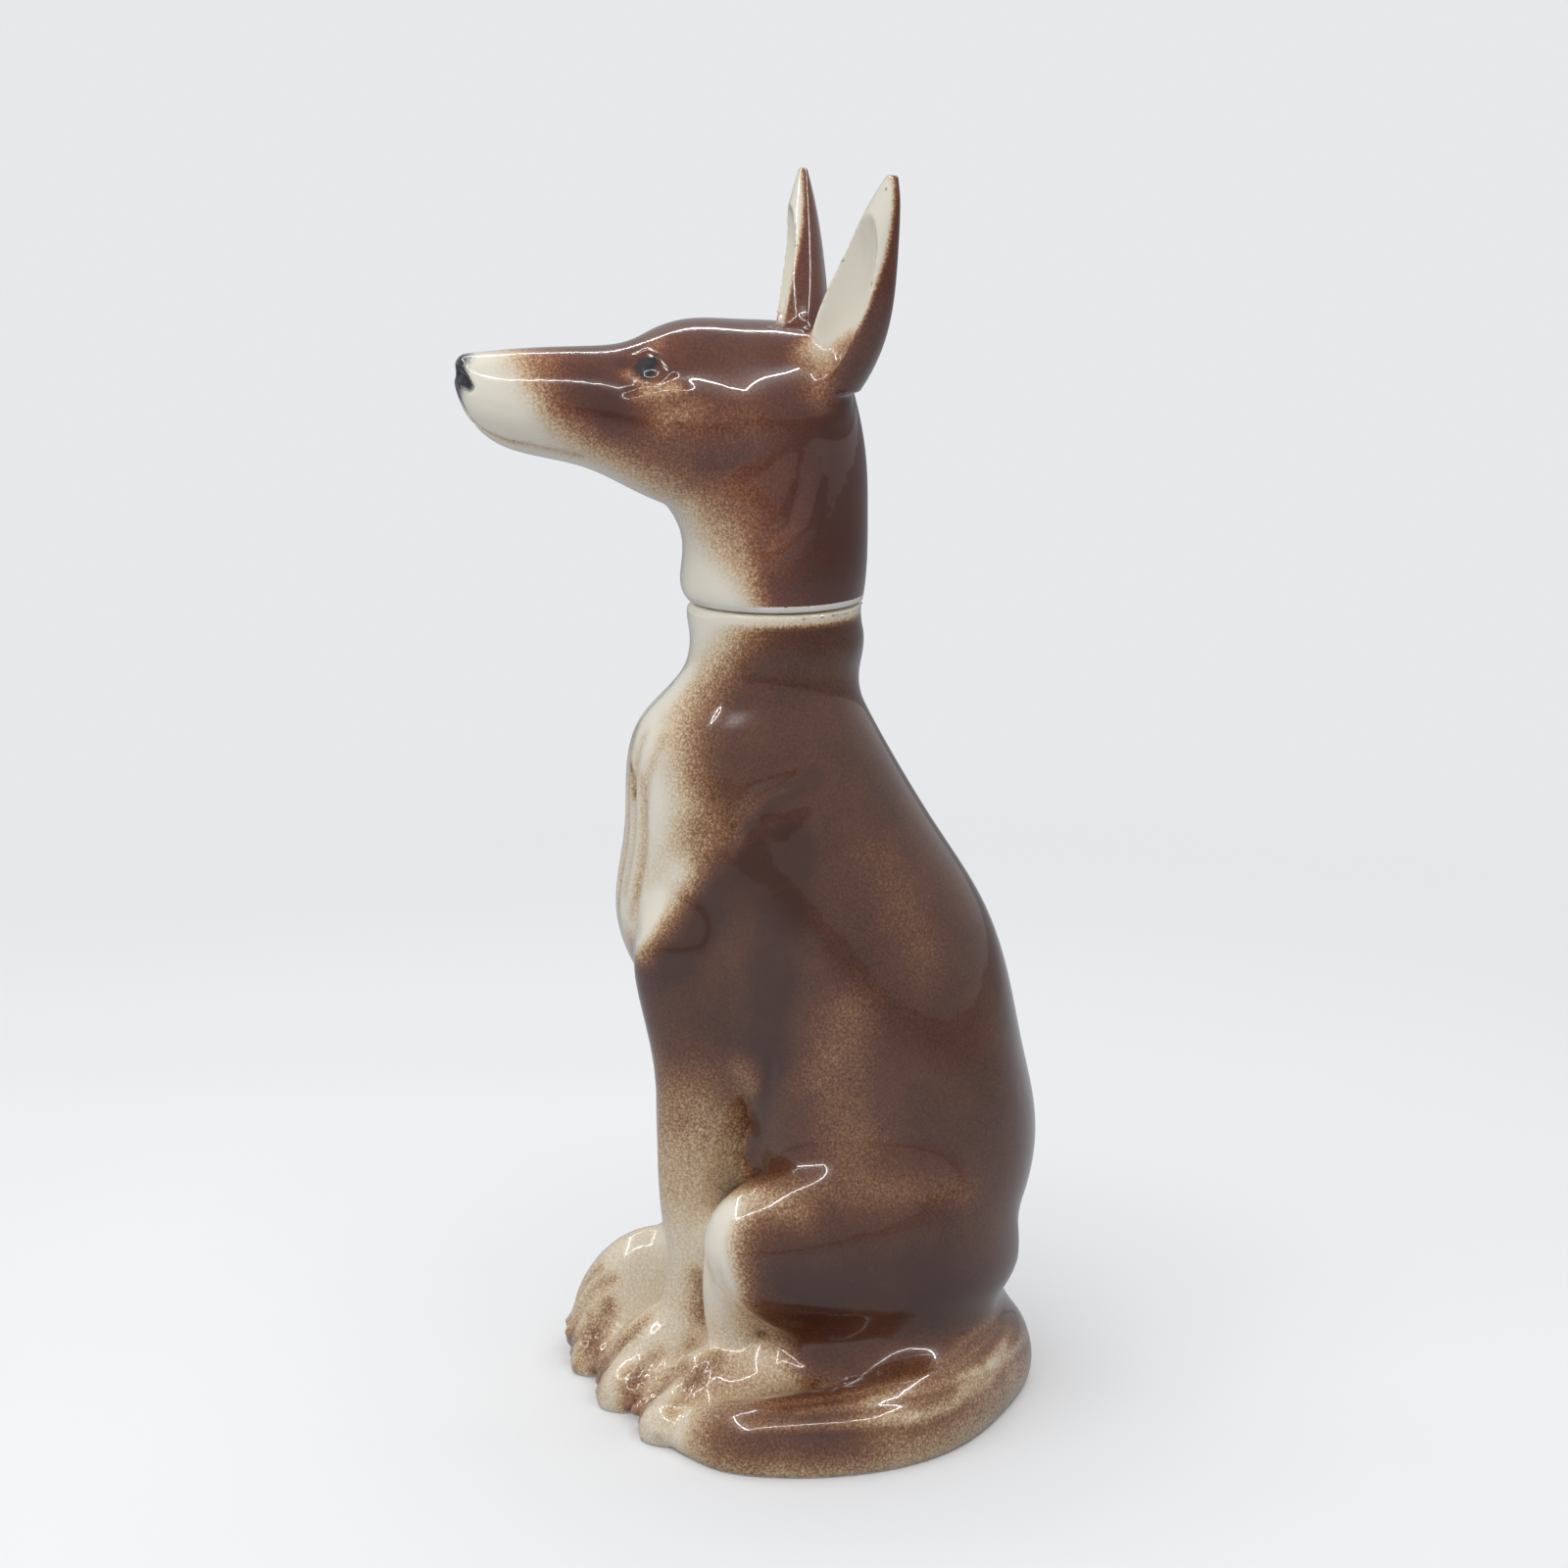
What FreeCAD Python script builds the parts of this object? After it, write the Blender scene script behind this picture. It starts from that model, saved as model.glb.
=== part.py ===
"""A glazed porcelain decanter in the form of a sitting hound, whose head is the stopper.

Millimetres, +Z up. The dog faces -Y, its left side is +X, and the table is z = 0. All forms are
laid out from the neck axis, and the finished pieces are moved so that the middle of the decanter's
footprint is the origin.
"""

import FreeCAD, Part
import math
import os

Vector = FreeCAD.Vector

# Place of the neck axis from the middle of the footprint
NECK_AXIS_X = -10.2
NECK_AXIS_Y = 4.3

# Neck, walls and bottle
NECK_HEIGHT = 199.0
NECK_RADIUS = 21.0
WALL = 5.0
FLOOR = 7.0
FOOT_RECESS = 1.5
FOOT_RIM = 11.0

# Body
BODY_LENGTH = 104.0
BODY_WIDTH = 70.0

# Low mound in which the feet stand as one mass
MOUND_HEIGHT = 14.0
MOUND_WIDTH = 82.0
MOUND_AHEAD = 44.0
MOUND_BEHIND = 53.0

# Forelegs and forepaws
FORELEG_RADIUS = 8.6
FORELEG_SPREAD = 10.5
FORELEG_AHEAD = 20.6
FOREPAW_LENGTH = 35.5
FOREPAW_WIDTH = 25.0
FOREPAW_HEIGHT = 20.0
FOREPAW_SPREAD = 11.5

# The right forepaw stands further forward and is arched higher
FOREPAW_STAGGER = 8.5
FOREPAW_ARCH = 8.0

# Haunches and hind paws
HAUNCH_LENGTH = 79.0
HAUNCH_HEIGHT = 62.0
HAUNCH_WIDTH = 34.0
HAUNCH_REACH = 19.0
HAUNCH_LEVEL = 42.0
HIND_PAW_LENGTH = 50.0
HIND_PAW_WIDTH = 21.0
HIND_PAW_HEIGHT = 19.0
HIND_PAW_SPREAD = 30.0
HIND_PAW_REACH = 38.5

# Fold of skin between each foreleg and knee, and the seat under each thigh
FOLD_HEIGHT = 46.0
FOLD_WIDTH = 17.0
FOLD_SPREAD = 24.0
FOLD_AHEAD = 11.0
FOLD_LEVEL = 32.0
SEAT_LENGTH = 54.0
SEAT_WIDTH = 24.0
SEAT_SPREAD = 30.0
SEAT_BEHIND = 17.0
SEAT_LEVEL = 14.0

# Tail
TAIL_RADIUS = 11.0
TAIL_SPREAD = 53.5
TAIL_BEHIND = 53.5
TAIL_START_DEG = -26.0
TAIL_SWEEP_DEG = 146.0

# Head, measured from the neck axis with the face along -Y
HEAD_LENGTH = 76.8
HEAD_HEIGHT = 66.5
HEAD_WIDTH = 39.0
HEAD_WALL = 5.0
HEAD_TURN_DEG = 17.0
SEAM_GAP = 0.4
EAR_HEIGHT = 50.0
EAR_ROOT = 16.0
EAR_WIDTH = 23.0
EAR_THICKNESS = 13.5
EAR_SPREAD = 12.0
EAR_SPLAY = 17.0
EAR_BEHIND = 10.0
EAR_SWEEP = 7.6

# Peg and cork
PEG_RADIUS = 11.0
PEG_LENGTH = 36.0
PEG_VENT_RADIUS = 3.0
CORK_LENGTH = 28.0
CORK_TAPER = 0.6
CORK_DROP = 3.0
CORK_CHAMFER = 1.0
FIT_CLEARANCE = 0.3

# Every cut runs on by this much, and forms are joined to this tolerance
OVERRUN = 2.0
JOIN_TOLERANCE = 0.003

# Points round each loft section
SECTION_POINTS = 8

# Torso sections: height in neck heights, then widest line, front reach and back reach in body
# lengths, and half width in half body widths
TORSO_SHARES = (
    (0.000, 0.231, 0.308, 0.298, 1.080),
    (0.100, 0.240, 0.308, 0.305, 1.060),
    (0.226, 0.250, 0.317, 0.345, 1.000),
    (0.330, 0.250, 0.337, 0.380, 1.000),
    (0.427, 0.221, 0.385, 0.375, 1.000),
    (0.523, 0.163, 0.475, 0.394, 0.971),
    (0.613, 0.087, 0.466, 0.412, 0.929),
    (0.714, 0.019, 0.377, 0.362, 0.857),
    (0.794, -0.019, 0.333, 0.308, 0.786),
    (0.864, -0.029, 0.275, 0.245, 0.700),
    (0.906, -0.005, 0.224, 0.197, 0.610),
)
NECK_STRAIGHT_SHARES = (0.935, 0.967, 1.000)

# Foreleg sections: height in neck heights, then spread, set ahead, half width and half depth in
# the leg's own sizes at its thinnest
FORELEG_SHARES = (
    (0.000, 1.00, 1.06, 1.08, 1.12),
    (0.110, 1.00, 1.03, 1.00, 1.02),
    (0.226, 1.00, 1.00, 0.98, 0.98),
    (0.330, 1.10, 0.92, 1.05, 1.29),
    (0.432, 1.24, 0.86, 1.14, 1.51),
    (0.523, 1.48, 0.90, 1.28, 1.80),
    (0.593, 1.60, 0.90, 1.32, 1.90),
    (0.690, 1.30, 0.72, 0.70, 1.20),
)

# Haunch sections from knee to rump: along the haunch, spread in haunch widths, level in haunch
# levels, half width in haunch widths, rise and fall in haunch heights
HAUNCH_SHARES = (
    (0.000, 0.97, 1.12, 0.06, 0.04, 0.04),
    (0.085, 0.95, 1.09, 0.30, 0.22, 0.23),
    (0.240, 0.85, 1.02, 0.43, 0.36, 0.34),
    (0.480, 0.74, 1.00, 0.52, 0.52, 0.42),
    (0.720, 0.66, 1.00, 0.48, 0.54, 0.40),
    (0.920, 0.50, 0.95, 0.28, 0.36, 0.24),
    (1.000, 0.38, 0.90, 0.06, 0.06, 0.06),
)

# Paw sections from heel to toes: along the paw, half width and top in the paw's own sizes
FOREPAW_SHARES = (
    (0.00, 0.36, 1.15),
    (0.26, 0.40, 1.22),
    (0.54, 0.47, 1.10),
    (0.77, 0.43, 0.80),
    (0.90, 0.26, 0.40),
)
HIND_PAW_SHARES = (
    (0.00, 0.08, 0.12),
    (0.08, 0.28, 0.60),
    (0.30, 0.38, 0.84),
    (0.58, 0.46, 1.00),
    (0.78, 0.42, 0.72),
    (0.90, 0.25, 0.36),
)
TOE_COUNT = 4
TOE_LONG_SHARE = 0.38
TOE_WIDE_SHARE = 0.18
TOE_LEVEL_SHARE = 0.24
TOE_SET_BACK_SHARE = 0.09
TOE_FAN_SHARE = 0.88

# Tail stations from rump to tip: share of the tail's sweep round the body, reach in shares of the
# tail's ellipse, then level, half width and rise in tail radii
TAIL_SHARES = (
    (0.00, 0.50, 0.48, 0.90, 1.20),
    (0.08, 0.82, 0.48, 1.00, 1.34),
    (0.21, 1.00, 0.48, 1.05, 1.40),
    (0.37, 0.98, 0.47, 1.05, 1.36),
    (0.54, 1.01, 0.45, 1.08, 1.28),
    (0.73, 1.00, 0.41, 1.04, 1.14),
    (0.89, 0.99, 0.34, 0.84, 0.86),
    (1.00, 0.98, 0.20, 0.18, 0.18),
)

# Head sections along the face: distance ahead in head lengths, bottom and top in head heights
# above the seam, half width in half head widths
HEAD_SHARES = (
    (-0.235, 0.57, 0.70, 0.12),
    (-0.200, 0.45, 0.87, 0.58),
    (-0.090, 0.37, 0.98, 0.92),
    (0.120, 0.31, 1.005, 1.00),
    (0.330, 0.35, 1.000, 0.93),
    (0.465, 0.42, 0.942, 0.74),
    (0.600, 0.500, 0.928, 0.61),
    (0.800, 0.565, 0.927, 0.50),
    (0.955, 0.675, 0.915, 0.36),
    (1.000, 0.79, 0.880, 0.14),
)

# Neck of the head: height in head heights above the seam, then forward lean, half width, front and
# back reach in neck radii
HEAD_NECK_SHARES = (
    (0.00, 0.00, 1.00, 1.00, 1.00),
    (0.10, 0.00, 1.03, 1.10, 1.04),
    (0.23, 0.02, 1.03, 1.06, 1.08),
    (0.33, 0.04, 1.01, 1.18, 1.10),
    (0.45, 0.05, 0.97, 1.38, 1.10),
    (0.62, 0.06, 0.90, 1.20, 1.05),
    (0.76, 0.06, 0.78, 0.90, 0.95),
)

# Ear sections: height in ear heights, half width in ear widths, half thickness in ear thicknesses
EAR_SHARES = (
    (0.00, 0.30, 0.42),
    (0.13, 0.42, 0.52),
    (0.30, 0.49, 0.52),
    (0.56, 0.40, 0.42),
    (0.82, 0.24, 0.25),
    (1.00, 0.07, 0.07),
)
EAR_FACING_DEG = 14.0
EAR_CUP_RISE_SHARE = 0.47
EAR_CUP_TALL_SHARE = 0.42
EAR_CUP_WIDE_SHARE = 0.36

# Head hollow: places and sizes in head lengths, head heights and head widths
HEAD_HOLLOW_AHEAD_SHARE = 0.12
HEAD_HOLLOW_RISE_SHARE = 0.62
HEAD_HOLLOW_LONG_SHARE = 0.28

# Where a section closes, as a share of a turn: up is also back, and down is also front
UP_SHARE = 0.25
DOWN_SHARE = -0.25

HEAD_BASE = NECK_HEIGHT + SEAM_GAP
BORE_RADIUS = NECK_RADIUS - WALL
SIDES = (1, -1)


def egg(half_width, down, up, seam_share):
    """Points of a closed egg: half_width to each side, down and up from its widest line.

    The curve closes at seam_share of a turn, where the surface has its seam.
    """
    points = []
    for step in range(SECTION_POINTS):
        turn = 2 * math.pi * (step / SECTION_POINTS + seam_share)
        reach = up if math.sin(turn) > 0 else down
        points.append((half_width * math.cos(turn), reach * math.sin(turn)))
    return points


def smooth_wire(points):
    """One closed smooth curve through the points, spaced evenly so that sections match."""
    spacing = [step / len(points) for step in range(len(points) + 1)]
    curve = Part.BSplineCurve()
    curve.interpolate(Points=points, PeriodicFlag=True, Parameters=spacing)
    return Part.Wire([curve.toShape()])


def level_section(side, back, height, half_width, front_reach, back_reach, seam_share=UP_SHARE):
    """An egg that lies flat at a height."""
    outline = egg(half_width, front_reach, back_reach, seam_share)
    return smooth_wire([Vector(side + x, back + y, height) for x, y in outline])


def upright_section(side, back, height, half_width, fall, rise, seam_share=UP_SHARE):
    """An egg that stands across the dog's length."""
    outline = egg(half_width, fall, rise, seam_share)
    return smooth_wire([Vector(side + x, back, height + z) for x, z in outline])


def join(shape, forms):
    """The shape with each form fused to it in turn."""
    for form in forms:
        shape = shape.fuse([form], JOIN_TOLERANCE)
    return shape


def spheroid(centre, long_radius, wide_radius, direction):
    """An egg-like solid of revolution about a direction through its centre."""
    sphere = Part.makeSphere(wide_radius)
    stretch = FreeCAD.Matrix()
    stretch.scale(Vector(1, 1, long_radius / wide_radius))
    shape = sphere.transformGeometry(stretch)
    shape.Placement = FreeCAD.Placement(centre, FreeCAD.Rotation(Vector(0, 0, 1), direction))
    return shape


def ellipsoid(centre, across, along, upward):
    """A level egg-like solid with three different half sizes."""
    sphere = Part.makeSphere(across)
    stretch = FreeCAD.Matrix()
    stretch.scale(Vector(1, along / across, upward / across))
    shape = sphere.transformGeometry(stretch)
    shape.translate(centre)
    return shape


def torso_sections(inset, lowest):
    """Torso sections drawn in by inset, with the bottom one at the lowest height."""
    sections = []
    for high, middle, front, back, half in TORSO_SHARES:
        sections.append(
            level_section(
                0,
                middle * BODY_LENGTH,
                high * NECK_HEIGHT if high else lowest,
                half * BODY_WIDTH / 2 - inset,
                front * BODY_LENGTH - inset,
                back * BODY_LENGTH - inset,
            )
        )
    return sections


def neck_section(height, radius):
    """A round section of the neck."""
    return level_section(0, 0, height, radius, radius, radius)


def make_torso():
    sections = torso_sections(0, -OVERRUN)
    for high in NECK_STRAIGHT_SHARES:
        sections.append(neck_section(high * NECK_HEIGHT, NECK_RADIUS))
    return Part.makeLoft(sections, True)


def make_foreleg(side):
    sections = []
    for high, spread, ahead, half, deep in FORELEG_SHARES:
        sections.append(
            level_section(
                side * spread * FORELEG_SPREAD,
                -ahead * FORELEG_AHEAD,
                high * NECK_HEIGHT if high else -2 * OVERRUN,
                half * FORELEG_RADIUS,
                deep * FORELEG_RADIUS,
                deep * FORELEG_RADIUS,
                DOWN_SHARE,
            )
        )
    return Part.makeLoft(sections, True)


def make_paw(side, heel, length, width, height, shares):
    """A paw from its heel forward, with a fan of toes."""
    sections = []
    for along, half, top in shares:
        sections.append(
            upright_section(
                side, heel - along * length, 0, half * width, top * height, top * height, DOWN_SHARE
            )
        )
    toes = []
    spacing = TOE_FAN_SHARE * width / TOE_COUNT
    for toe in range(TOE_COUNT):
        offset = toe - (TOE_COUNT - 1) / 2
        set_back = TOE_SET_BACK_SHARE * abs(offset) * width + TOE_LONG_SHARE * width
        centre = Vector(side + offset * spacing, heel - length + set_back, TOE_LEVEL_SHARE * height)
        direction = Vector(offset * spacing, -width, 0)
        toes.append(spheroid(centre, TOE_LONG_SHARE * width, TOE_WIDE_SHARE * width, direction))
    return join(Part.makeLoft(sections, True), toes)


def make_haunch(side):
    back = -HAUNCH_REACH
    sections = []
    for along, spread, level, half, rise, fall in HAUNCH_SHARES:
        sections.append(
            upright_section(
                side * spread * HAUNCH_WIDTH,
                back + along * HAUNCH_LENGTH,
                level * HAUNCH_LEVEL,
                half * HAUNCH_WIDTH,
                fall * HAUNCH_HEIGHT,
                rise * HAUNCH_HEIGHT,
            )
        )
    return Part.makeLoft(sections, True)


def make_tail():
    """The tail lies on the table along an ellipse, from behind the rump round the left side."""
    sections = []
    for along, reach, level, half, rise in TAIL_SHARES:
        turn = math.radians(TAIL_START_DEG + along * TAIL_SWEEP_DEG)
        place = Vector(
            reach * TAIL_SPREAD * math.sin(turn),
            reach * TAIL_BEHIND * math.cos(turn),
            level * TAIL_RADIUS,
        )
        outward = Vector(TAIL_BEHIND * math.sin(turn), TAIL_SPREAD * math.cos(turn), 0).normalize()
        points = []
        for x, z in egg(half * TAIL_RADIUS, half * TAIL_RADIUS, rise * TAIL_RADIUS, DOWN_SHARE):
            points.append(place + outward * x + Vector(0, 0, z))
        sections.append(smooth_wire(points))
    return Part.makeLoft(sections, True)


def make_mound():
    middle = Vector(0, (MOUND_BEHIND - MOUND_AHEAD) / 2, 0)
    return ellipsoid(middle, MOUND_WIDTH / 2, (MOUND_AHEAD + MOUND_BEHIND) / 2, MOUND_HEIGHT)


def make_fold(side):
    middle = Vector(side * FOLD_SPREAD, -FOLD_AHEAD, FOLD_LEVEL)
    return spheroid(middle, FOLD_HEIGHT / 2, FOLD_WIDTH / 2, Vector(0, 0, 1))


def make_seat(side):
    middle = Vector(side * SEAT_SPREAD, SEAT_BEHIND, SEAT_LEVEL)
    return spheroid(middle, SEAT_LENGTH / 2, SEAT_WIDTH / 2, Vector(0, -1, 0))


def make_foot_recess():
    """A shallow hollow under the mound, so that the figure stands on a rim."""
    outline = level_section(
        0, 0, -OVERRUN, MOUND_WIDTH / 2 - FOOT_RIM, MOUND_AHEAD - FOOT_RIM, MOUND_BEHIND - FOOT_RIM
    )
    return Part.Face(outline).extrude(Vector(0, 0, FOOT_RECESS + OVERRUN))


def make_body_vessel():
    forms = [make_mound(), make_tail()]
    for side in SIDES:
        forward, arch = (0, 0) if side > 0 else (FOREPAW_STAGGER, FOREPAW_ARCH)
        hind_heel = HIND_PAW_LENGTH - HIND_PAW_REACH
        forms.append(make_foreleg(side))
        forms.append(make_haunch(side))
        forms.append(make_fold(side))
        forms.append(make_seat(side))
        forms.append(
            make_paw(
                side * FOREPAW_SPREAD,
                FORELEG_RADIUS - FORELEG_AHEAD - forward,
                FOREPAW_LENGTH,
                FOREPAW_WIDTH,
                FOREPAW_HEIGHT + arch,
                FOREPAW_SHARES,
            )
        )
        forms.append(
            make_paw(
                side * HIND_PAW_SPREAD,
                hind_heel,
                HIND_PAW_LENGTH,
                HIND_PAW_WIDTH,
                HIND_PAW_HEIGHT,
                HIND_PAW_SHARES,
            )
        )
    body = join(make_torso(), forms)
    under = Part.makeBox(
        2 * BODY_LENGTH + 2 * TAIL_SPREAD,
        4 * BODY_LENGTH,
        NECK_HEIGHT,
        Vector(-BODY_LENGTH - TAIL_SPREAD, -2 * BODY_LENGTH, -NECK_HEIGHT),
    )
    body = body.cut(under)
    body = body.cut(make_foot_recess())
    return body.cut(make_chamber())


def make_chamber():
    """The hollow for the liquor, with the straight bore of the neck above it."""
    chamber = Part.makeLoft(torso_sections(WALL, FLOOR), True)
    bore_bottom = TORSO_SHARES[-2][0] * NECK_HEIGHT
    bore = Part.makeCylinder(BORE_RADIUS, NECK_HEIGHT + OVERRUN - bore_bottom, Vector(0, 0, bore_bottom))
    return chamber.fuse(bore)


def make_ear(side):
    facing = math.radians(EAR_FACING_DEG)
    across = Vector(side * math.cos(facing), math.sin(facing), 0)
    forward = Vector(side * math.sin(facing), -math.cos(facing), 0)
    base = Vector(side * EAR_SPREAD, EAR_BEHIND, HEAD_BASE + HEAD_HEIGHT - EAR_ROOT)
    lean = Vector(side * EAR_SPLAY, EAR_SWEEP, EAR_HEIGHT)
    sections = []
    for high, half, thick in EAR_SHARES:
        middle = base + lean * high
        half_thick = thick * EAR_THICKNESS
        points = []
        for x, y in egg(half * EAR_WIDTH, half_thick, half_thick, UP_SHARE):
            points.append(middle + across * x + forward * y)
        sections.append(smooth_wire(points))
    ear = Part.makeLoft(sections, True)
    cup_middle = base + lean * EAR_CUP_RISE_SHARE + forward * EAR_THICKNESS / 2
    cup = spheroid(cup_middle, EAR_CUP_TALL_SHARE * EAR_HEIGHT, EAR_CUP_WIDE_SHARE * EAR_WIDTH, lean)
    return ear.cut(cup)


def make_head_stopper():
    sections = []
    for ahead, bottom, top, half in HEAD_SHARES:
        reach = (top - bottom) * HEAD_HEIGHT / 2
        middle = HEAD_BASE + (top + bottom) * HEAD_HEIGHT / 2
        sections.append(
            upright_section(0, -ahead * HEAD_LENGTH, middle, half * HEAD_WIDTH / 2, reach, reach)
        )
    head = Part.makeLoft(sections, True)
    neck_sections = []
    for high, lean, half, front, back in HEAD_NECK_SHARES:
        neck_sections.append(
            level_section(
                0,
                -lean * NECK_RADIUS,
                HEAD_BASE + high * HEAD_HEIGHT,
                half * NECK_RADIUS,
                front * NECK_RADIUS,
                back * NECK_RADIUS,
            )
        )
    peg_bottom = HEAD_BASE - PEG_LENGTH
    peg = Part.makeCylinder(PEG_RADIUS, PEG_LENGTH + HEAD_WALL, Vector(0, 0, peg_bottom))
    ears = [make_ear(side) for side in SIDES]
    head = join(head, [Part.makeLoft(neck_sections, True)] + ears + [peg])
    hollow_middle = Vector(
        0,
        -HEAD_HOLLOW_AHEAD_SHARE * HEAD_LENGTH,
        HEAD_BASE + HEAD_HOLLOW_RISE_SHARE * HEAD_HEIGHT,
    )
    hollow = spheroid(
        hollow_middle,
        HEAD_HOLLOW_LONG_SHARE * HEAD_LENGTH,
        HEAD_WIDTH / 2 - HEAD_WALL,
        Vector(0, -1, 0),
    )
    vent_height = hollow_middle.z - peg_bottom + OVERRUN
    vent = Part.makeCylinder(PEG_VENT_RADIUS, vent_height, Vector(0, 0, peg_bottom - OVERRUN))
    head = head.cut(hollow.fuse(vent))
    head.rotate(Vector(0, 0, 0), Vector(0, 0, 1), HEAD_TURN_DEG)
    return head


def make_cork_sleeve():
    inner = PEG_RADIUS + FIT_CLEARANCE
    outer = BORE_RADIUS - FIT_CLEARANCE
    top = NECK_HEIGHT - CORK_DROP
    bottom = top - CORK_LENGTH
    foot = outer - CORK_TAPER
    profile = Part.makePolygon(
        [
            Vector(inner, 0, bottom),
            Vector(foot - CORK_CHAMFER, 0, bottom),
            Vector(foot, 0, bottom + CORK_CHAMFER),
            Vector(outer, 0, top - CORK_CHAMFER),
            Vector(outer - CORK_CHAMFER, 0, top),
            Vector(inner, 0, top),
            Vector(inner, 0, bottom),
        ]
    )
    return Part.Face(profile).revolve(Vector(0, 0, 0), Vector(0, 0, 1), 360)


def main():
    os.makedirs("parts", exist_ok=True)
    pieces = {
        "body_vessel": make_body_vessel(),
        "head_stopper": make_head_stopper(),
        "cork_sleeve": make_cork_sleeve(),
    }
    for name, shape in pieces.items():
        shape.translate(Vector(NECK_AXIS_X, NECK_AXIS_Y, 0))
        shape.exportStep(f"parts/{name}.step")
        box = shape.BoundBox
        print(name, len(shape.Solids), shape.isValid(), round(shape.Volume / 1000, 1), box)


main()
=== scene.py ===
"""Looks of a glazed porcelain decanter in the form of a sitting hound, whose head is the stopper.

The body and the head are finely meshed copies of the CAD solids. Their joins are filled as slip and
glaze fill them, the details are modelled in with soft strokes, and the airbrushed colours are kept
per point. Places on the dog are in millimetres from the neck axis, with the table at zero: x is the
dog's left, y its back and z up. Head places are taken before the head is turned. Lamps and floor are
in metres.
"""

import math

import bmesh
import bpy
import numpy as np
from mathutils import Matrix, Vector
from mathutils.bvhtree import BVHTree


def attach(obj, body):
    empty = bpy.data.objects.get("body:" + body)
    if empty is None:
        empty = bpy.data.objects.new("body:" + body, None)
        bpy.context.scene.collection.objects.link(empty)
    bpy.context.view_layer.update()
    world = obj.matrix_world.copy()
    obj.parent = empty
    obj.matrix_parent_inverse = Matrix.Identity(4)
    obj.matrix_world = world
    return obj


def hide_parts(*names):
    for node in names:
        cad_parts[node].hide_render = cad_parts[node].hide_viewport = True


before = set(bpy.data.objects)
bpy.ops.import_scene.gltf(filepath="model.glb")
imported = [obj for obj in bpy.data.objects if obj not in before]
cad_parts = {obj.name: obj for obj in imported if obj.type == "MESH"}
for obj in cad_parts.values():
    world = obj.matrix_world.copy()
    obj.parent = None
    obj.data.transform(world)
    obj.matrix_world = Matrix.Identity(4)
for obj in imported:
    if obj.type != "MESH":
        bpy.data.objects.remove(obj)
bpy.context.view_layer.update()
scene = bpy.context.scene

SIDES = (1, -1)

# Sizes and places that follow the solids
NECK_AXIS = np.array([-10.2, 4.3, 0.0])
NECK_TOP = 199.0
NECK_RADIUS = 21.0
HEAD_BASE = 199.4
HEAD_TURN = math.radians(17.0)
EAR_FACING = math.radians(14.0)
EAR_BASE = (12.0, 10.0, 249.9)
EAR_LEAN = (17.0, 7.6, 50.0)
EAR_CUP_RISE = 0.47
EAR_CUP_AHEAD = 6.75
EAR_CUP_TALL = 21.0
EAR_CUP_WIDE = 8.3
TAIL_REACH = 53.5
TAIL_HALF = 11.0
TAIL_MIDDLE = 5
TAIL_RISE = 14

# The body's hollow, as heights and the size at each, and the head's hollow
HOLLOW_MIDDLE = ((0, 45, 85, 104, 122, 142, 158, 172), (24, 26, 23, 17, 9, 2, -2, -3))
HOLLOW_HALF = ((0, 45, 66, 85, 104, 122, 142, 158, 172), (34, 32, 32, 32, 31, 30, 27, 25, 22))
HOLLOW_FRONT = ((0, 45, 85, 104, 122, 142, 158, 172), (29, 30, 37, 46, 46, 36, 31, 25))
HOLLOW_BACK = ((0, 45, 85, 104, 122, 142, 158, 172), (28, 33, 36, 38, 40, 35, 29, 22))
HOLLOW_FLOOR = 5
HOLLOW_TOP = 172
HOLLOW_SHARE = 0.9
BORE_REACH = 18.5
BORE_BOTTOM = 168
HEAD_HOLLOW_MIDDLE = (-9.2, 240.6)
HEAD_HOLLOW_HALF = (16, 23, 16)

# Meshing and modelling
BODY_VOXEL = 0.9
HEAD_VOXEL = 0.55
WELD_REACH = 1e-6
MASK_LEAST = 0.02
SMOOTH_STEPS = (0.5, -0.53)
SOFTEN_STEP = 0.5
FILL_STEP = 0.9
FILL_ROUNDS_PER_LOOK = 5
RAY_START = 200
RAY_AHEAD = 100
RIM_ROUND = 1.5
RIM_BAND = 4
BARE_CORNERS = 2.0
TAPER_ENDS = (0.02, 0.98)
LEAST_RUN = 1e-9
EAR_ROOT = (13, 3, 256)
EAR_ROOT_REACH = 6
TEMPLE = (-14, 251)
TEMPLE_REACH = 8
TEMPLE_STRETCH = 0.55

# Soft limits of what is filled and softened: where each begins and where it is full
ABOVE_TABLE = (0.5, 3)
ABOVE_PEG = (HEAD_BASE - 0.5, HEAD_BASE + 2)
LEGS_UP = (112, 84)
TOES_UP = (16, 9)
TOES_ALONG = (-24, -32)
PAWS_UP = (32, 24)
PAWS_ALONG = (0, -10)
REAR_UP = (32, 26)
REAR_ALONG = (-12, -4)
TEMPLE_ACROSS = (6, 9)

# Plugs of slip that close narrow gaps: middle and half sizes
FORELEG_PLUG = ((13, -5.5, 63), (5, 5.5, 13))
TOE_PLUG = ((21, -38, 3), (6, 8, 8))
FOREPAW_PLUG = ((0, -45, 3), (6, 8, 8))
TAIL_TIP_PLUG = ((40, -27, 3), (6, 9, 7))

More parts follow.
